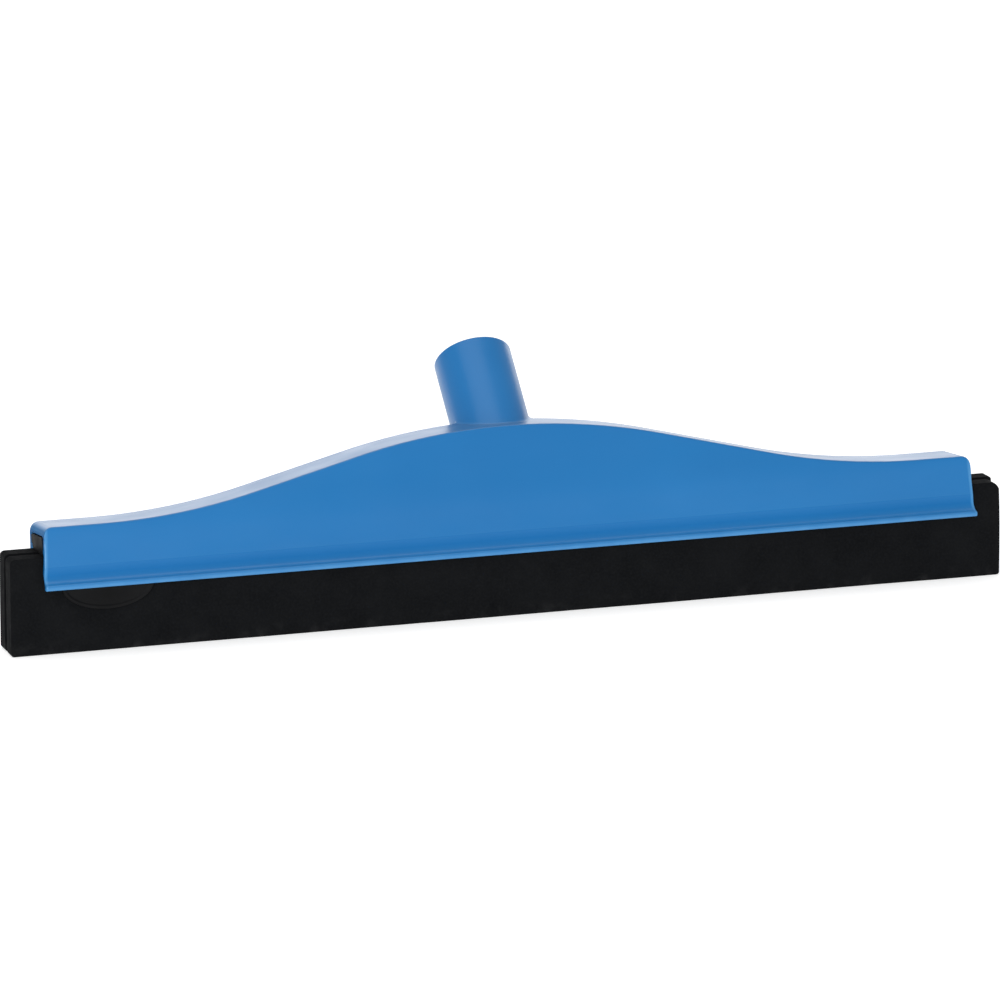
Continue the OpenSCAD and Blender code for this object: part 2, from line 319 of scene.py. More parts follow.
def piece(obj, body, material, node, sharp=35):
    """Cleans a finished shape, moves it into the row frame, and ties it to its body and node."""
    obj.name = node + "_visual"
    bm = bmesh.new()
    bm.from_mesh(obj.data)
    bmesh.ops.remove_doubles(bm, verts=bm.verts, dist=0.0003)
    crowded = [f for f in bm.faces if len(f.verts) > 4]
    bmesh.ops.triangulate(bm, faces=crowded, quad_method="BEAUTY", ngon_method="BEAUTY")
    bmesh.ops.recalc_face_normals(bm, faces=bm.faces)
    bm.transform(Matrix.Translation((0, BLADE_Y, 0)) @ Matrix.Scale(MM, 4))
    bm.to_mesh(obj.data)
    bm.free()
    obj.data.materials.clear()
    obj.data.materials.append(material)
    obj.data.polygons.foreach_set("use_smooth", [True] * len(obj.data.polygons))
    obj.data.set_sharp_from_angle(angle=math.radians(sharp))
    weighted = obj.modifiers.new("weighted", "WEIGHTED_NORMAL")
    weighted.keep_sharp = True
    weighted.weight = 80
    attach(obj, body)
    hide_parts(node)
    return obj


# ---------------------------------------------------------------- materials

class Nodes:
    """Short calls for building one material's nodes."""

    def __init__(self, name, **values):
        self.material = bpy.data.materials.new(name)
        self.material.use_nodes = True
        self.tree = self.material.node_tree
        self.shader = self.tree.nodes["Principled BSDF"]
        for socket, value in values.items():
            self.shader.inputs[socket.replace("_", " ")].default_value = value
        self.place = self.add("ShaderNodeTexCoord").outputs["Object"]

    def add(self, kind, **settings):
        node = self.tree.nodes.new(kind)
        for key, value in settings.items():
            setattr(node, key, value)
        return node

    def link(self, source, target):
        self.tree.links.new(source, target)

    def noise(self, scale, detail=2.0, stretch=(1, 1, 1)):
        """Noise over the object, with feature size about one over scale metres."""
        mapping = self.add("ShaderNodeMapping")
        mapping.inputs["Scale"].default_value = stretch
        self.link(self.place, mapping.inputs["Vector"])
        node = self.add("ShaderNodeTexNoise")
        node.inputs["Scale"].default_value = scale
        node.inputs["Detail"].default_value = detail
        self.link(mapping.outputs["Vector"], node.inputs["Vector"])
        return node.outputs["Fac"]

    def cells(self, scale):
        """Distance from the middle of the nearest cell."""
        node = self.add("ShaderNodeTexVoronoi")
        node.inputs["Scale"].default_value = scale
        self.link(self.place, node.inputs["Vector"])
        return node.outputs["Distance"]

    def span(self, source, low, high, to_low, to_high):
        """Maps low..high of a value to to_low..to_high, clamped."""
        node = self.add("ShaderNodeMapRange")
        node.inputs["From Min"].default_value = low
        node.inputs["From Max"].default_value = high
        node.inputs["To Min"].default_value = to_low
        node.inputs["To Max"].default_value = to_high
        self.link(source, node.inputs["Value"])
        return node.outputs["Result"]

    def maths(self, operation, a, b):
        node = self.add("ShaderNodeMath", operation=operation)
        for socket, value in zip(node.inputs, (a, b)):
            if isinstance(value, (int, float)):
                socket.default_value = value
            else:
                self.link(value, socket)
        return node.outputs[0]

    def blend(self, factor, a, b):
        """Mix of two colours, each a tuple or another mix."""
        node = self.add("ShaderNodeMix", data_type="RGBA")
        self.link(factor, node.inputs[0])
        for socket, value in ((node.inputs[6], a), (node.inputs[7], b)):
            if isinstance(value, tuple):
                socket.default_value = (*value, 1)
            else:
                self.link(value, socket)
        return node.outputs[2]

    def axis(self, name):
        """One coordinate of the place on the object."""
        node = self.add("ShaderNodeSeparateXYZ")
        self.link(self.place, node.inputs[0])
        return node.outputs[name]

    def facing(self, name):
        """How much the surface faces along an axis, in the object's own frame."""
        coords = self.add("ShaderNodeTexCoord")
        node = self.add("ShaderNodeSeparateXYZ")
        self.link(coords.outputs["Normal"], node.inputs[0])
        return self.maths("ABSOLUTE", node.outputs[name], 0)

    def bump(self, *layers):
        """Stacks (height, depth in metres, strength) layers on the shader's normal."""
        normal = None
        for height, depth, strength in layers:
            node = self.add("ShaderNodeBump")
            node.inputs["Distance"].default_value = depth
            node.inputs["Strength"].default_value = strength
            self.link(height, node.inputs["Height"])
            if normal is not None:
                self.link(normal, node.inputs["Normal"])
            normal = node.outputs["Normal"]
        self.link(normal, self.shader.inputs["Normal"])

    def surface(self, colour, roughness):
        self.link(colour, self.shader.inputs["Base Color"])
        self.link(roughness, self.shader.inputs["Roughness"])
        return self.material


def blue_plastic():
    """Satin moulded polypropylene: faint flow marks, painted shade and a duller finish in the cove,
    painted highlights on the foot and the end edges, painted shade and a duller finish on the end faces,
    and a painted grey sheen on top.
    """
    n = Nodes("blue_polypropylene")
    drift = n.span(n.noise(11, 3), 0.3, 0.7, 0, 1)
    flow = n.span(n.noise(38, 4, (0.22, 1, 1)), 0.3, 0.7, 0, 1)
    colour = n.blend(drift, BLUE_DEEP, BLUE_LIGHT)
    colour = n.blend(n.maths("MULTIPLY", flow, 0.35), colour, BLUE_FLOW)
    height = n.axis("Z")
    # distance from the middle, less the draft of the ends, so an end face lies at one value
    along = n.maths("ABSOLUTE", n.axis("X"), 0)
    below = n.maths("MAXIMUM", n.maths("SUBTRACT", DRAFT_TOP * MM, height), 0)
    along = n.maths("SUBTRACT", along, n.maths("MULTIPLY", below, DRAFT / DRAFT_DROP))
    # masks for the painted shade in the cove, the painted highlights on the foot and the end edges, the
    # painted shade on the end faces and the painted sheen on top, in metres
    patchy = n.span(n.noise(120, 4), 0.3, 0.7, 0.55, 1)
    # painted shade: the neck band under the crease is darkened, most near the hollow corner above the
    # rim; the same mask also makes it rougher and duller
    cove = n.span(height, 0.0358, 0.0385, 0, 1)
    cove = n.maths("MULTIPLY", cove, n.span(height, 0.0380, 0.0424, 1, 0.55))
    cove = n.maths("MULTIPLY", cove, n.span(height, 0.0424, 0.0427, 1, 0))
    # painted highlight: the lowest few millimetres of the foot rim are lightened
    foot = n.span(height, 0.0328, 0.0362, 1, 0)
    # painted highlight: a band where each end edge is rounded is lightened
    edge = n.span(along, 0.2314, 0.2324, 0, 1)
    edge = n.maths("MULTIPLY", edge, n.span(along, 0.23325, 0.23338, 1, 0))
    # painted highlight on the foot and the end edges, broken up by noise
    edge_highlight = n.maths("MULTIPLY", n.maths("MAXIMUM", n.maths("MULTIPLY", foot, 0.8), edge), patchy)
    # painted shade: surfaces facing along the blade near the ends are darkened, and also made rougher and
    # duller
    end_shade_and_dull = n.span(n.facing("X"), 0.45, 0.85, 0, 1)
    end_shade_and_dull = n.maths("MULTIPLY", end_shade_and_dull, n.span(along, 0.2280, 0.2295, 0, 1))
    # painted sheen: upward-facing surfaces high on the head are greyed, by up to a fifth
    dust_and_sheen = n.span(n.facing("Z"), 0.85, 0.98, 0, 1)
    dust_and_sheen = n.maths("MULTIPLY", dust_and_sheen, n.span(height, 0.050, 0.058, 0, 0.2))
    # painted shade in the cove
    colour = n.blend(n.maths("MULTIPLY", cove, 0.3), colour, BLUE_COVE_SHADE)
    # painted highlight on the foot and the end edges
    colour = n.blend(n.maths("MULTIPLY", edge_highlight, 0.7), colour, BLUE_EDGE_HIGHLIGHT)
    # painted shade on the end faces
    colour = n.blend(n.maths("MULTIPLY", end_shade_and_dull, 0.5), colour, BLUE_END_SHADE)
    # painted grey sheen on top
    colour = n.blend(dust_and_sheen, colour, TOP_SHEEN_GREY)
    rough = n.span(n.noise(90, 4, (0.4, 1, 1)), 0.3, 0.7, 0.285, 0.355)
    rough = n.maths("ADD", rough, n.maths("MULTIPLY", n.maths("MAXIMUM", end_shade_and_dull, cove), 0.2))
    dull = n.maths("MAXIMUM", n.maths("MULTIPLY", end_shade_and_dull, 0.9), n.maths("MULTIPLY", cove, 0.7))
    shine = n.maths("MULTIPLY", n.maths("SUBTRACT", 1.0, dull), 0.5)
    n.link(shine, n.shader.inputs["Specular IOR Level"])
    n.bump((n.noise(42, 2), 0.00010, 0.25), (n.noise(1900, 3), 0.000012, 0.35))
    return n.surface(colour, rough)


def cellular_rubber():
    """Matt black sponge rubber: moulded skin on the faces, open cells where it is cut."""
    n = Nodes("cellular_rubber", Specular_IOR_Level=0.05)
    cut = n.span(n.facing("X"), 0.6, 0.9, 0, 1)
    cloud = n.span(n.noise(60, 4), 0.3, 0.7, 0, 1)
    grain = n.span(n.noise(900, 4), 0.42, 0.68, 0, 1)
    colour = n.blend(cloud, RUBBER_DARK, RUBBER_LIGHT)
    colour = n.blend(n.maths("MULTIPLY", grain, 0.45), colour, RUBBER_GRAIN)
    colour = n.blend(n.maths("MULTIPLY", cut, 0.3), colour, RUBBER_CUT)
    low = n.span(n.axis("Z"), 0, 0.007, 0.35, 0)
    dust_and_sheen = n.maths("MULTIPLY", low, n.span(n.noise(140, 5), 0.5, 0.7, 0, 1))
    colour = n.blend(dust_and_sheen, colour, RUBBER_DUST)
    rough = n.span(n.noise(300, 3), 0.3, 0.7, 0.78, 0.95)
    pores = n.span(n.cells(850), 0.05, 0.34, 0, 1)
    pores = n.maths("MULTIPLY", pores, n.maths("ADD", n.maths("MULTIPLY", cut, 0.7), 0.3))
    n.bump((n.noise(70, 2), 0.0004, 0.35), (pores, 0.00022, 0.55), (n.noise(2400, 3), 0.00005, 0.45))
    return n.surface(colour, rough)


def dark_plastic(name, specular, rough_low, rough_high, tone):
    """Dark moulded plastic with a fine grain."""
    n = Nodes(name, Specular_IOR_Level=specular)
    cloud = n.span(n.noise(45, 4), 0.35, 0.65, 0, 1)
    lighter = tuple(c * 1.7 for c in tone)
    colour = n.blend(cloud, tone, lighter)
    rough = n.span(n.noise(130, 4), 0.3, 0.7, rough_low, rough_high)
    n.bump((n.noise(80, 2), 0.00008, 0.3), (n.noise(1700, 2), 0.000015, 0.4))
    return n.surface(colour, rough)


def pale_floor():
    """White acrylic table, lit from below."""
    n = Nodes("pale_floor", Specular_IOR_Level=0.0, Emission_Color=(1, 1, 1, 1),
              Emission_Strength=FLOOR_GLOW)
    colour = n.blend(n.noise(3, 2), (0.80, 0.80, 0.80), (0.82, 0.82, 0.82))
    rough = n.span(n.noise(20, 2), 0.3, 0.7, 0.85, 0.95)
    return n.surface(colour, rough)


# ---------------------------------------------------------------- head

def crest(x, drop=0.0, corner=True):
    """Height of the front view's top edge."""
    x = abs(x)
    top = END_TOP - drop
    if x > HALF - CORNER_R and corner:
        return top - CORNER_R + math.sqrt(max(0, CORNER_R ** 2 - (x - HALF + CORNER_R) ** 2))
    if x >= HUMP_HALF:
        return top
    if x >= HUMP_HALF - CROWN_X:
        return top + HUMP_R - math.sqrt(HUMP_R ** 2 - (HUMP_HALF - x) ** 2)
    if x >= CROWN_X:
        return top + ARC_H + (HUMP_HALF - CROWN_X - x) * math.tan(FLANK)
    return top + HUMP_RISE - HUMP_R + math.sqrt(HUMP_R ** 2 - x ** 2)


def roof(height, y):
    """Height of a roof at y, given the front view's height; the roof falls to the back."""
    return END_TOP + (height - END_TOP) / math.cos(ROOF_FALL) - math.tan(ROOF_FALL) * (y - CUT_Y)


def front_face(z):
    """The front face's y: straight, then leaning back more and more, then straight again."""
    more = LEAN_HIGH - LEAN_LOW
    y = -NECK_HALF + LEAN_LOW * (z - NECK_TOP)
    if z > FACE_BEND_Z:
        bent = min(z, FACE_STRAIGHT_Z) - FACE_BEND_Z
        y += 0.5 * more / (FACE_STRAIGHT_Z - FACE_BEND_Z) * bent ** 2
    if z > FACE_STRAIGHT_Z:
        y += more * (z - FACE_STRAIGHT_Z)
    return y


def back_face(z):
    """The back face's y: the front face's, further back by the neck's and then the full depth."""
    spread = min(1.0, max(0.0, (z - NECK_TOP) / BACK_SPREAD))
    return front_face(z) + 2 * NECK_HALF + (DEPTH - 2 * NECK_HALF) * spread


def meet(face, height):
    """Point where a face meets the roof of a given front view height."""
    z = height
    for _ in range(8):
        z = roof(height, face(z))
    return face(z), z


def draft(x, z):
    """x moved out towards the foot, so that the ends are drafted."""
    return x * (1 + DRAFT / HALF * max(0.0, DRAFT_TOP - z) / DRAFT_DROP)


def outer_outline(x):
    """Outside of the head in the plane at x, from the front foot over the roof to the back foot."""
    height = crest(x)
    front_top, back_top = meet(front_face, height), meet(back_face, height)
    side = [(FOOT_HALF + 0.05, FOOT_Z, 1.0, 4), (FOOT_HALF - 0.15, RIM_TOP + 0.05, 1.0, 4)]
    for t in (14, 27, 40, 53, 66, 79):
        out = 1 - math.sin(math.radians(t))
        up = 1 - math.cos(math.radians(t))
        side.append((NECK_HALF + COVE_R * out, RIM_TOP + COVE_R * up, 0, 0))
    side.append((NECK_HALF, NECK_TOP, 1.2, 2))

    def climb(face, top):
        return [(face(z), z, 0, 0) for z in spaced(NECK_TOP + 1.6, top - 2.2, 12)]

    ridge = [(front_top[0] + (back_top[0] - front_top[0]) * k / 4,
              front_top[1] + (back_top[1] - front_top[1]) * k / 4, 0, 0) for k in (1, 2, 3)]
    corners = [(-y, z, r, s) for y, z, r, s in side] + climb(front_face, front_top[1])
    corners += [(*front_top, 1.2, 5)] + ridge + [(*back_top, 1.2, 5)]
    corners += climb(back_face, back_top[1])[::-1] + side[::-1]
    return rounded(corners)


def head_stations():
    """Places along the head, close together where it curves."""
    half = spaced(0, HUMP_HALF, 26) + [212.0, 219.0, 225.0]
    half += [HALF - CORNER_R + step for step in (0, 1.0, 2.1, 2.8)]
    turns = (0, 12, 24, 36, 48, 60, 70, 80, 90)
    half += [HALF - END_ROUND * (1 - math.sin(math.radians(t))) for t in turns]
    return mirrored(half)


def head_outside():
    """The head as if it were full, with rounded end edges and drafted ends."""
    rings = []
    for x in head_stations():
        outline = outer_outline(x)
        moved = inset(outline, drawn_in(x, HALF, END_ROUND))
        ring = []
        for p, q in zip(outline, moved):
            # the roof keeps its height: the corner of the front view lowers it already
            near_top = min(1.0, max(0.0, (p.y - crest(x) + 8.0) / 5.0))
            r = q.lerp(p, near_top)
            ring.append((draft(x, r.y), r.x, r.y))
        rings.append(ring)
    return solid("head", rings, ladder=True)


def hollow_faces(x, floor):
    """Inside of the front and back faces and the ceiling over floor, front to back."""
    ease = min(1.0, max(0.0, (abs(x) - 219.0) / 12.0))
    height = crest(x, ROOF_T + CEILING_DIP * ease * ease * (3 - 2 * ease), corner=False)

    def front(z):
        return front_face(z) + WALL

    def back(z):
        return back_face(z) - WALL

    front_top, back_top = meet(front, height), meet(back, height)

    def climb(face, top):
        return [(face(z), z, 0, 0) for z in spaced(floor + 1.4, top - 2.4, 6)]

    corners = [(front(floor), floor, 0.5, 3)] + climb(front, front_top[1]) + [(*front_top, 1.4, 4)]
    corners += [(*back_top, 1.4, 4)] + climb(back, back_top[1])[::-1] + [(back(floor), floor, 0.5, 3)]
    return corners


def inner_outline(x):
    """The channel, the slot between the ledges and the hollow, open downwards."""
    side = [
        (MOUTH_HALF + 0.7, FOOT_Z - 6, 0, 0),
        (MOUTH_HALF + 0.7, FOOT_Z, 0, 0),
        (MOUTH_HALF + 0.1, FOOT_Z + 0.3, 0, 0),
        (MOUTH_HALF, FOOT_Z + 0.8, 0, 0),
        (MOUTH_HALF, FOOT_Z + 1.8, 1.0, 2),
        (CHANNEL_HALF, FOOT_Z + 7.3, 1.5, 3),
        (CHANNEL_HALF, LEDGE_Z - 1.2, 0.4, 2),
        (PLATE_HALF + 0.4, LEDGE_Z, 0.4, 2),
        (SLOT_HALF, LEDGE_Z, 0.4, 2),
        (SLOT_HALF, LEDGE_TOP, 0.4, 2),
    ]
    corners = [(-y, z, r, s) for y, z, r, s in side] + hollow_faces(x, LEDGE_TOP) + side[::-1]
    return rounded(corners)


def head_inside():
    """Everything the head leaves free inside, running out past both ends and the foot."""
    half = spaced(0, HUMP_HALF, 26) + [212.0, 219.0, 222.0, 225.0, 228.0, 231.0]
    half += [HALF - MOUTH_ROUND * (1 - math.sin(math.radians(t))) for t in (0, 25, 50, 70, 90)]
    half.append(HALF + 8)
    rings = []
    for x in mirrored(half):
        outline = inset(inner_outline(x), -drawn_in(x, HALF, MOUTH_ROUND))
        rings.append([(draft(x, p.y), p.x, p.y) for p in outline])
    return solid("inside", rings)


def ledge_relief():
    """Room at the open end, where the ledges stop short of the rail's end block."""
    low, high = LEDGE_Z - 0.01, LEDGE_TOP + 0.6
    outline = [(front_face(z) + WALL, z) for z in (low, high)]
    outline += [(back_face(z) - WALL, z) for z in (high, low)]
    return solid("relief", [[(x, y, z) for y, z in outline] for x in (-HALF - 8, BLOCK_X[1] + 0.4)])


def cross_wall(x0, x1, floor):
    """Wall across the hollow, let into the faces and the roof a little."""
    rings = []
    for x in (x0, x1):
        outline = inset(rounded(hollow_faces(x, floor)), -0.5)
        rings.append([(x, p.x, p.y) for p in outline])
    return solid("wall", rings)


def socket_place():
    """Frame on the socket's axis: +z out of the mouth, the rim at z = 0."""
    return Matrix.Translation(RIM_CENTRE) @ Matrix.Rotation(-LEAN, 4, "X")


def behind_face(gap, low):
    """Block of everything behind the front face by gap, above low."""
    far, top = 100, 140
    heights = [low, NECK_TOP + 2, 50, FACE_BEND_Z, 60, 64, FACE_STRAIGHT_Z, 80, 103, top]
    outline = [(front_face(max(z, NECK_TOP)) + gap, z) for z in heights if z >= low]
    outline += [(far, top), (far, low)]
    return solid("behind", [[(x, y, z) for y, z in outline] for x in (-50, 50)])


def socket_outside():
    """Straight round bar with a rounded rim, from deep in the hump out to the mouth."""
    edge = 1.0
    profile = [(0, -SOCKET_REACH)]
    profile += [(SOCKET_R, h) for h in spaced(-SOCKET_REACH, -edge, 12)]
    for t in (18, 36, 54, 72, 90):
        turn = math.radians(t)
        profile.append((SOCKET_R - edge * (1 - math.cos(turn)), -edge * (1 - math.sin(turn))))
    profile.append((0, 0))
    return revolve("socket", profile, socket_place(), 96)


def root_distance(p):
    """Rough distance of p from the roof and back face round the socket's root."""
    slope = (crest(p.x + 0.5) - crest(p.x - 0.5)) / math.cos(ROOF_FALL)
    over = (p.z - roof(crest(p.x), p.y)) / math.sqrt(1 + slope ** 2 + math.tan(ROOF_FALL) ** 2)
    lean = back_face(p.z + 0.5) - back_face(p.z - 0.5)
    behind = (p.y - back_face(p.z)) / math.sqrt(1 + lean ** 2)
    edge = 1.2
    if over > -edge and behind > -edge:
        return math.hypot(over + edge, behind + edge) - edge
    return max(over, behind)


def root_fillet():
    """Rounded corner all round the socket where it grows out of the hump, as a ball would roll it."""
    place = socket_place().to_3x3()
    axis = place @ Vector((0, 0, 1))
    rings = []
    count = 120
    for i in range(count):
        turn = 2 * math.pi * i / count
        out = place @ Vector((math.cos(turn), math.sin(turn), 0))
        start = RIM_CENTRE + out * (SOCKET_R + ROOT_FILLET)
        low, high = 0.0, 5.0
        while root_distance(start - axis * high) > ROOT_FILLET and high < 110:
            low, high = high, high + 1.0
        for _ in range(30):
            mid = (low + high) / 2
            if root_distance(start - axis * mid) > ROOT_FILLET:
                low = mid
            else:
                high = mid
        ball = start - axis * high
        steps = [Vector((0.05, 0, 0)), Vector((0, 0.05, 0)), Vector((0, 0, 0.05))]
        slope = Vector([root_distance(ball + d) - root_distance(ball - d) for d in steps]).normalized()
        arc = []
        for k in range(7):
            toward = (-out).slerp(-slope, k / 6)
            # both ends of the arc go a little into the surfaces
            arc.append(ball + toward * (ROOT_FILLET + (0.06 if k in (0, 6) else 0)))
        deep = ball - (out + slope).normalized() * (ROOT_FILLET + 3.0)
        rings.append(arc + [arc[-1] - slope * 1.2, deep, arc[0] - out * 1.2])
    return solid("fillet", rings, closed=True)


def socket_recess():
    """Ring between the sleeve and the wall, with flared lips, less the spokes."""
    inner, outer = SLEEVE_R, SOCKET_R - SOCKET_WALL
    flare = 0.5
    lip = [(flare * (1 - math.cos(t)), -flare + flare * math.sin(t)) for t in (0.5, 1.0, 1.57)]
    profile = [(inner, -THREAD_DEPTH), (inner, -20), (inner, -flare)]
    profile += [(inner - out, h) for out, h in lip]
    profile += [(inner - flare, 2), (outer + flare, 2)]
    profile += [(outer + out, h) for out, h in lip[::-1]]
    profile += [(outer, -flare), (outer, -20), (outer, -THREAD_DEPTH)]
    recess = ring_solid("recess", profile, socket_place(), 96)
    half, low = SPOKE_T / 2, -THREAD_DEPTH - 1
    outline = rounded([(-half, low, 0, 0), (-half, -SPOKE_DROP, 0.5, 3),
                       (half, -SPOKE_DROP, 0.5, 3), (half, low, 0, 0)])
    for i in range(SPOKES):
        place = socket_place() @ Matrix.Rotation(2 * math.pi * i / SPOKES, 4, "Z")
        rings = [[place @ Vector((r, p.x, p.y)) for p in outline] for r in (inner - 1.0, outer + 1.0)]
        combine(recess, solid("spoke", rings), "DIFFERENCE")
    return recess


def threaded_bore():
    """Hole for the handle with a coarse rounded thread standing in from its wall."""
    steps = 96
    place = socket_place()
    heights = [-THREAD_DEPTH + 0.5 * k for k in range(84)] + [-0.5, -0.2, 0, 1.5]
    rings = []
    for h in heights:
        fade = min(1.0, max(0.0, (-h - 2.5) / 3.0))
        chamfer = 0.7 * min(1.0, max(0.0, (h + 0.9) / 0.9))
        ring = []
        for k in range(steps):
            turn = 2 * math.pi * k / steps
            wave = 0.5 - 0.5 * math.cos(2 * math.pi * (h / THREAD_PITCH - k / steps))
            wave = min(1.0, max(0.0, wave * 1.8 - 0.5))
            r = THREAD_R - THREAD_RIDGE * wave * fade + chamfer
            ring.append(place @ Vector((r * math.cos(turn), r * math.sin(turn), h)))
        rings.append(ring)
    return solid("bore", rings)


def build_head():
    """The moulding: body, socket and fillet joined, then hollowed, then ribs and the end stop."""
    head = head_outside()
    socket = socket_outside()
    combine(socket, root_fillet(), "UNION")
    combine(socket, behind_face(WALL / 2, NECK_TOP), "INTERSECT")
    combine(head, socket, "UNION")
    core_r, core_top = SOCKET_R - SOCKET_WALL, -THREAD_DEPTH - SOCKET_FLOOR
    profile = [(0, -SOCKET_REACH), (core_r, -SOCKET_REACH), (core_r, core_top), (0, core_top)]
    core = revolve("core", profile, socket_place(), 96)
    combine(core, behind_face(WALL, LEDGE_TOP), "INTERSECT")
    for tool in (core, socket_recess(), threaded_bore(), head_inside(), ledge_relief()):
        combine(head, tool, "DIFFERENCE")
    for side in (-1, 1):
        for i in range(1, RIB_COUNT + 1):
            x = side * RIB_PITCH * i
            combine(head, cross_wall(x - RIB_T / 2, x + RIB_T / 2, RIB_Z), "UNION")
    combine(head, cross_wall(*STOP_X, LEDGE_TOP - 0.6), "UNION")
    return head


# ---------------------------------------------------------------- cassette

def lip_ring(x, low, high, depth, seed):
    """Section of the front lip at x between two heights, drawn in by depth, with a little unevenness."""
    edge = 0.5
    heights = [2.0, 4.5, 7.0, 10.0, 13.0, 16.0, 19.0, 22.0, 25.0, 28.0, 31.0, 33.2]
    corners = [(-LIP_OUT, low, edge, 3)]
    corners += [(-LIP_OUT, max(z, low + 0.6 + 0.02 * z), 0, 0) for z in heights]
    pressed = STRIP_OUT - STRIP_T if abs(x) < RAIL_HALF + 1 else LIP_OUT
    corners += [(-LIP_OUT, STRIP_LOW - 0.1, 0, 0), (-pressed, STRIP_LOW + 0.05, 0, 0)]
    corners += [(-pressed, 38.0, 0, 0)]
    corners += [(-pressed, high, edge, 3), (-LIP_IN, high, edge, 3)]
    corners += [(-LIP_IN, z, 0, 0) for z in (35.0, 26.0, 17.0, 9.0)]
    corners += [(-LIP_IN, low, edge, 3)]
    corners += [(-4.0, low, 0, 0), (-6.1, low, 0, 0), (-8.2, low, 0, 0)]
    ring = []
    for p in inset(rounded(corners), depth):
        wave = noise.noise(Vector((x * 0.02 + seed, p.x * 0.05, p.y * 0.05)))
        fine = noise.noise(Vector((x * 0.11 + 40 + seed, p.x * 0.2, p.y * 0.13)))
        y = p.x
        if p.x < -10.0 and p.y < STRIP_LOW:
            y += 0.06 + 0.12 * wave + 0.05 * fine
        z = p.y
        if p.y < 1.5:
            z += max(0.02, 0.08 + 0.12 * wave + 0.04 * fine)
        ring.append(Vector((x, y, z)))
    return ring


def build_lip(name, corners, slant, seed):
    """A cut strip of sponge rubber, its edges soft.

    The corners' radii run low left, high left, low right, high right. The right end leans in at the
    top, by a little less than slant.
    """
    edge = 0.5
    lean_from = 236.0
    reach = max(corners)
    half = [4.0 * i for i in range(58)] + [RAIL_HALF + 0.95, RAIL_HALF + 1.05, 235.0, 238.0, 241.0, 243.5]
    half += [LIP_HALF - reach + reach * math.sin(math.radians(t)) for t in (0, 15, 30, 45, 55, 62)]
    half += [LIP_HALF - edge * (1 - math.sin(math.radians(t))) for t in (5, 25, 45, 65, 90)]
    rings = []
    for x in mirrored(half):
        radii = corners[:2] if x < 0 else corners[2:]
        # the last half millimetre is the soft edge, so the corners stop short of closing up there
        rises = [min(drawn_in(x, LIP_HALF, radius), radius * 0.62) for radius in radii]
        ring = lip_ring(x, rises[0], LIP_H - rises[1], drawn_in(x, LIP_HALF, edge), seed)
        lean = max(0.0, (x - lean_from) / (LIP_HALF - lean_from))
        for p in ring:
            p.x -= slant * lean * (max(0.0, p.z - 8.0) / LIP_H) ** 2
        rings.append(ring)
    return solid(name, rings)


def bar(name, outline, x0, x1, edge):
    """Outline carried along x, with its end edges rounded by edge."""
    turns = [math.radians(t) for t in (0, 30, 60, 90)]
    count = 24
    xs = [(x0 + edge * (1 - math.sin(t)), edge * (1 - math.cos(t))) for t in turns[::-1]]
    xs += [(x0 + edge + (x1 - x0 - 2 * edge) * k / count, 0) for k in range(1, count)]
    xs += [(x1 - edge * (1 - math.sin(t)), edge * (1 - math.cos(t))) for t in turns]
    return solid(name, [[(x, p.x, p.y) for p in inset(outline, d)] for x, d in xs])


def build_rail():
    """Tee that runs in the head, plate over the lips and web between them, with soft edges."""
    side = [
        (LIP_IN, WEB_LOW, 0.4, 2),
        (LIP_IN, LIP_H, 0.05, 1),
        (PLATE_HALF, LIP_H, 0.3, 2),
        (PLATE_HALF, PLATE_TOP, 0.3, 2),
        (TEE_NECK_HALF, PLATE_TOP, 0.4, 2),
        (TEE_NECK_HALF, TEE_LOW, 0.4, 2),
        (TEE_HALF, TEE_LOW, 0.4, 3),
        (TEE_HALF, TEE_TOP, 0.5, 3),
        (GROOVE_HALF, TEE_TOP, 0.3, 2),
        (GROOVE_HALF, TEE_TOP - GROOVE_DEPTH, 0.3, 2),
    ]
    outline = rounded([(-y, z, r, s) for y, z, r, s in side] + side[::-1])
    rail = bar("cassette_rail", outline, -RAIL_HALF, RAIL_HALF, 0.3)
    combine(rail, end_block(), "UNION")
    for x in RIVET_XS:
        hole = [(0, -6), (RIVET_HOLE_R, -6), (RIVET_HOLE_R, 6), (0, 6)]
        combine(rail, revolve("hole", hole, across(x), 24), "DIFFERENCE")
    return rail


def end_block():
    """Block on the rail's end that closes the open end of the head, with soft edges."""
    gap = 0.4
    low = LEDGE_Z + gap

    def front(z):
        return front_face(z) + WALL + gap

    def back(z):
        return back_face(z) - WALL - gap

    outline = rounded([
        (-PLATE_HALF, LIP_H + 0.02, 0.3, 2),
        (front(low), low, 0, 0),
        (front(BLOCK_TOP_FRONT), BLOCK_TOP_FRONT, 1.2, 4),
        (back(BLOCK_TOP_BACK), BLOCK_TOP_BACK, 1.2, 4),
        (back(low), low, 0.5, 3),
        (PLATE_HALF, low, 0.3, 2),
        (PLATE_HALF, LIP_H + 0.02, 0.3, 2),
    ])
    turns = [math.radians(t) for t in (0, 22, 45, 67, 90)]
    edge = 0.4
    x0, x1 = BLOCK_X
    xs = [(x0 + edge * (1 - math.sin(t)), edge * (1 - math.cos(t))) for t in turns[::-1]]
    xs.append((x1, 0))
    return solid("block", [[(x, p.x, p.y) for p in inset(outline, d)] for x, d in xs])


def across(x):
    """Frame on a rivet's axis, +z to the front."""
    return Matrix.Translation((x, 0, RIVET_Z)) @ Matrix.Rotation(math.pi / 2, 4, "X")


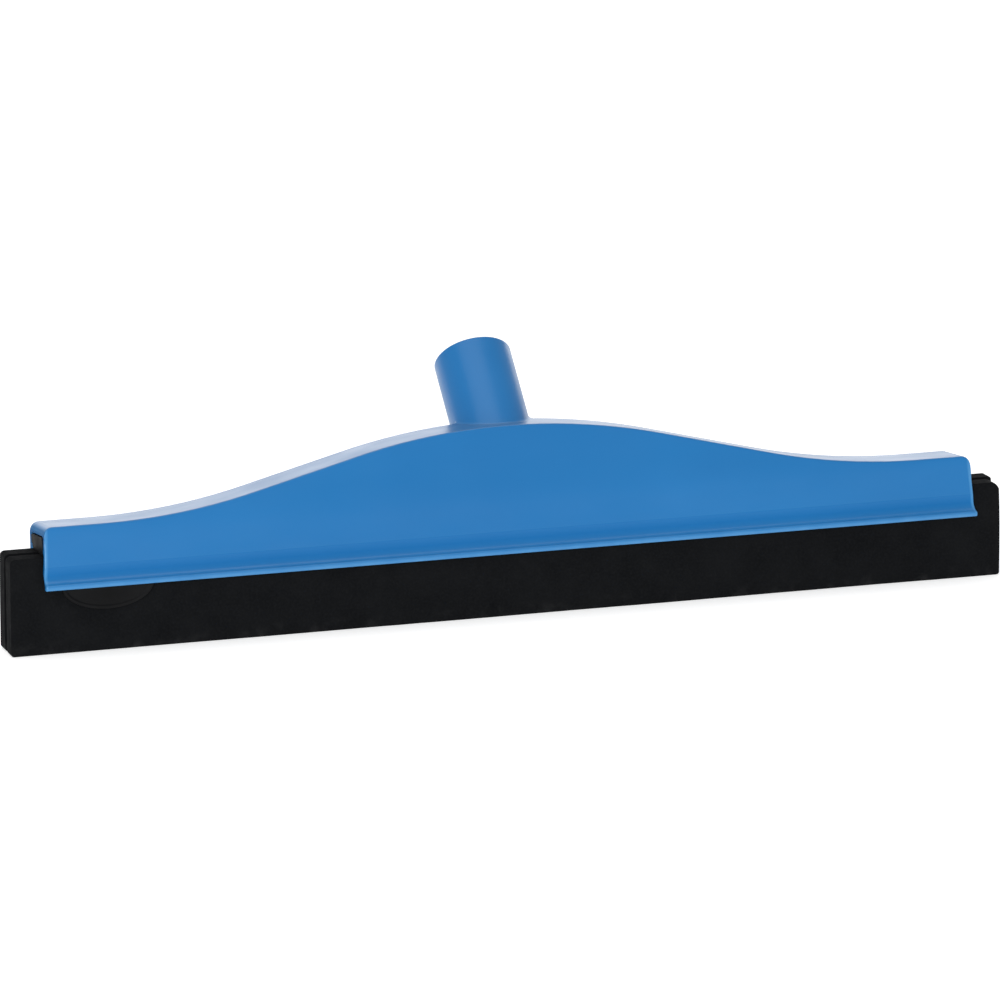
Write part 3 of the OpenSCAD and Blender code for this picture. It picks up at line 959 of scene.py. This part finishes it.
def build_strip(name):
    """Front clamp strip with its notch and sunk rivet seats."""
    inner = STRIP_OUT - STRIP_T
    outline = rounded([
        (-STRIP_OUT, STRIP_LOW, 0.5, 3),
        (-STRIP_OUT, STRIP_TOP, 0.5, 3),
        (-inner, STRIP_TOP, 0.2, 2),
        (-inner, STRIP_LOW, 0.2, 2),
    ])
    strip = bar(name, outline, -RAIL_HALF, RAIL_HALF, 0.3)
    notch = rounded([
        (-TAB_X - NOTCH_HALF, STRIP_LOW - 3, 0, 0),
        (-TAB_X - NOTCH_HALF, NOTCH_TOP, 1.0, 4),
        (-TAB_X + NOTCH_HALF, NOTCH_TOP, 1.0, 4),
        (-TAB_X + NOTCH_HALF, STRIP_LOW - 3, 0, 0),
    ])
    combine(strip, solid("notch", [[(p.x, y, p.y) for p in notch] for y in (-13, -7)]), "DIFFERENCE")
    seat_floor = STRIP_OUT - SEAT_DEPTH
    seat = [(0, 6), (RIVET_HOLE_R, 6), (RIVET_HOLE_R, seat_floor), (SEAT_R - 0.2, seat_floor),
            (SEAT_R, seat_floor + 0.2), (SEAT_R, STRIP_OUT - 0.25), (SEAT_R + 0.3, STRIP_OUT + 0.1),
            (SEAT_R + 0.3, 13), (0, 13)]
    for x in RIVET_XS:
        combine(strip, revolve("seat", seat, across(x), 32), "DIFFERENCE")
    return strip


def build_rivets():
    """Ten rivets with low domed heads, as one piece."""
    # radius, and depth under the strip's face, from the middle of the dome to its seat
    dome = [(0, 0.05), (0.9, 0.08), (1.7, 0.18), (2.3, 0.34), (2.65, 0.52), (2.75, 0.7),
            (2.6, SEAT_DEPTH), (RIVET_R, SEAT_DEPTH)]
    half = [(r, STRIP_OUT - sunk) for r, sunk in dome] + [(RIVET_R, 6.0)]
    profile = [(r, -h) for r, h in half] + half[::-1]
    parts = [revolve("rivets", profile, across(x), 32) for x in RIVET_XS]
    for other in parts[1:]:
        combine(parts[0], other, "UNION")
    return parts[0]


def half_moon(shrink, y):
    """Lower half of an ellipse hanging from TAB_TOP, drawn in by shrink."""
    half = TAB_HALF - shrink
    drop = TAB_TOP - TAB_LOW - shrink
    turns = spaced(0, math.pi, 48)
    ring = [(-TAB_X - half * math.cos(t), y, TAB_TOP - drop * math.sin(t)) for t in turns]
    return ring + [(-TAB_X + half * (1 - k / 6), y, TAB_TOP) for k in range(1, 12)]


def build_tab(name):
    """Half-moon with a raised rounded rim, on a neck that ends in a thin leaf and a bead."""
    # how far in from the outline, and how far behind the rim's front
    layers = [(2.4, 0.50), (2.0, 0.46), (1.75, 0.30), (1.55, 0.12), (1.30, 0.02), (0.95, 0.0),
              (0.60, 0.03), (0.28, 0.16), (0.08, 0.38), (0.0, 0.65), (0.0, 1.2), (0.12, 1.5),
              (0.4, TAB_T)]
    moon = solid(name, [half_moon(shrink, TAB_FACE + y) for shrink, y in layers])
    leaf_front, leaf_back = -10.6, -9.7
    outline = rounded([
        (leaf_back, 40.2, 0, 0),
        (leaf_back, 37.6, 1.0, 3),
        (TAB_FACE + TAB_T - 0.1, TAB_TOP + 0.1, 1.0, 3),
        (TAB_FACE + TAB_T - 0.1, TAB_TOP - 4, 0.3, 2),
        (TAB_FACE + 1.0, TAB_TOP - 4, 0.2, 2),
        (TAB_FACE + 1.0, TAB_TOP - 1.2, 0.3, 2),
        (TAB_FACE + 0.15, TAB_TOP - 0.3, 0.3, 2),
        (TAB_FACE + 0.15, TAB_TOP + 0.8, 0.4, 3),
        (leaf_front, 38.2, 0.8, 3),
        (leaf_front, 40.2, 0, 0),
        (-10.55, 40.75, 0, 0),
        (-10.30, 41.08, 0, 0),
        (-9.98, 41.2, 0, 0),
        (-9.66, 41.1, 0, 0),
        (-9.42, 40.8, 0, 0),
        (-9.40, 40.5, 0, 0),
    ])
    neck = bar("neck", outline, -TAB_X - TAB_NECK_HALF, -TAB_X + TAB_NECK_HALF, 0.25)
    combine(moon, neck, "UNION")
    return moon


def turned(source, name):
    """Copy of a front part turned half round, to the back."""
    copy = bpy.data.objects.new(name, source.data.copy())
    copy.data.transform(Matrix.Rotation(math.pi, 4, "Z"))
    bpy.context.scene.collection.objects.link(copy)
    return copy


# ---------------------------------------------------------------- stage

def set_camera():
    """Long lens on the blade's middle, from the left and above."""
    forward = Vector((math.sin(VIEW_SIDE) * math.cos(VIEW_DOWN),
                      math.cos(VIEW_SIDE) * math.cos(VIEW_DOWN), -math.sin(VIEW_DOWN)))
    right = Vector((math.cos(VIEW_SIDE), -math.sin(VIEW_SIDE), 0))
    up = right.cross(forward)
    blade = Vector((0, BLADE_Y, 0))
    data = bpy.data.cameras.new("camera")
    data.sensor_width = 36
    data.lens = VIEW_LENS
    camera = bpy.data.objects.new("camera", data)
    camera.location = blade - forward * VIEW_DISTANCE
    aim = blade - right * AIM_LEFT + up * AIM_UP
    camera.rotation_euler = (aim - camera.location).to_track_quat("-Z", "Y").to_euler()
    bpy.context.scene.collection.objects.link(camera)
    bpy.context.scene.camera = camera


def softbox(name, place, target, size, power):
    """Rectangular lamp at place, aimed at target; metres and watts."""
    data = bpy.data.lights.new(name, "AREA")
    data.shape = "RECTANGLE"
    data.size, data.size_y = size
    data.energy = power
    lamp = bpy.data.objects.new(name, data)
    lamp.location = place
    lamp.rotation_euler = (Vector(target) - Vector(place)).to_track_quat("-Z", "Y").to_euler()
    bpy.context.scene.collection.objects.link(lamp)


def set_stage():
    """Pale floor, three soft lamps and an even white room."""
    size, steps = 12.0, 8
    marks = spaced(-size / 2, size / 2, steps)
    verts = [(x, y, 0) for y in marks for x in marks]
    row = steps + 1
    corners = [j * row + i for j in range(steps) for i in range(steps)]
    faces = [(k, k + 1, k + row + 1, k + row) for k in corners]
    mesh = bpy.data.meshes.new("floor")
    mesh.from_pydata(verts, [], faces)
    mesh.materials.append(pale_floor())
    floor = bpy.data.objects.new("floor", mesh)
    bpy.context.scene.collection.objects.link(floor)
    softbox("overhead", place=(-0.2, 0.2, 1.9), target=(0, 0, 0), size=(2.6, 1.8), power=14)
    softbox("back", place=(0.7, 2.2, 0.50), target=(0, 0, 0.1), size=(3.6, 0.9), power=16)
    softbox("front", place=(-1.4, -3.0, 0.9), target=(0, 0, 0.05), size=(1.6, 1.2), power=50)
    world = bpy.data.worlds.new("studio")
    world.use_nodes = True
    background = world.node_tree.nodes["Background"]
    background.inputs["Color"].default_value = (1.0, 1.0, 1.0, 1)
    background.inputs["Strength"].default_value = ROOM_LIGHT
    bpy.context.scene.world = world
    bpy.context.scene.view_settings.view_transform = "Standard"


# ---------------------------------------------------------------- scene

set_camera()
set_stage()

blue = blue_plastic()
rubber = cellular_rubber()
satin = dark_plastic("cassette_polypropylene", 0.06, 0.50, 0.62, RAIL_BLACK)
tabs = dark_plastic("tab_nylon", 0.07, 0.40, 0.52, TAB_BLACK)
pin = dark_plastic("rivet_nylon", 0.40, 0.36, 0.50, RIVET_GREY)

piece(build_head(), "head", blue, "head")
front_lip = build_lip("front_lip", corners=(1.4, 2.2, 1.4, 4.5), slant=1.6, seed=0)
rear_lip = build_lip("rear_lip", corners=(1.6, 1.4, 1.6, 2.4), slant=0.5, seed=70)
rear_lip.data.transform(Matrix.Rotation(math.pi, 4, "Z"))
front_strip = build_strip("front_clamp_strip")
rear_strip = turned(front_strip, "rear_clamp_strip")
front_tab = build_tab("front_release_tab")
rear_tab = turned(front_tab, "rear_release_tab")
piece(front_lip, "cassette", rubber, "front_lip")
piece(rear_lip, "cassette", rubber, "rear_lip")
piece(build_rail(), "cassette", satin, "cassette_rail")
piece(front_strip, "cassette", satin, "front_clamp_strip")
piece(rear_strip, "cassette", satin, "rear_clamp_strip")
piece(build_rivets(), "cassette", pin, "rivets")
piece(front_tab, "front_tab", tabs, "front_release_tab")
piece(rear_tab, "rear_tab", tabs, "rear_release_tab")
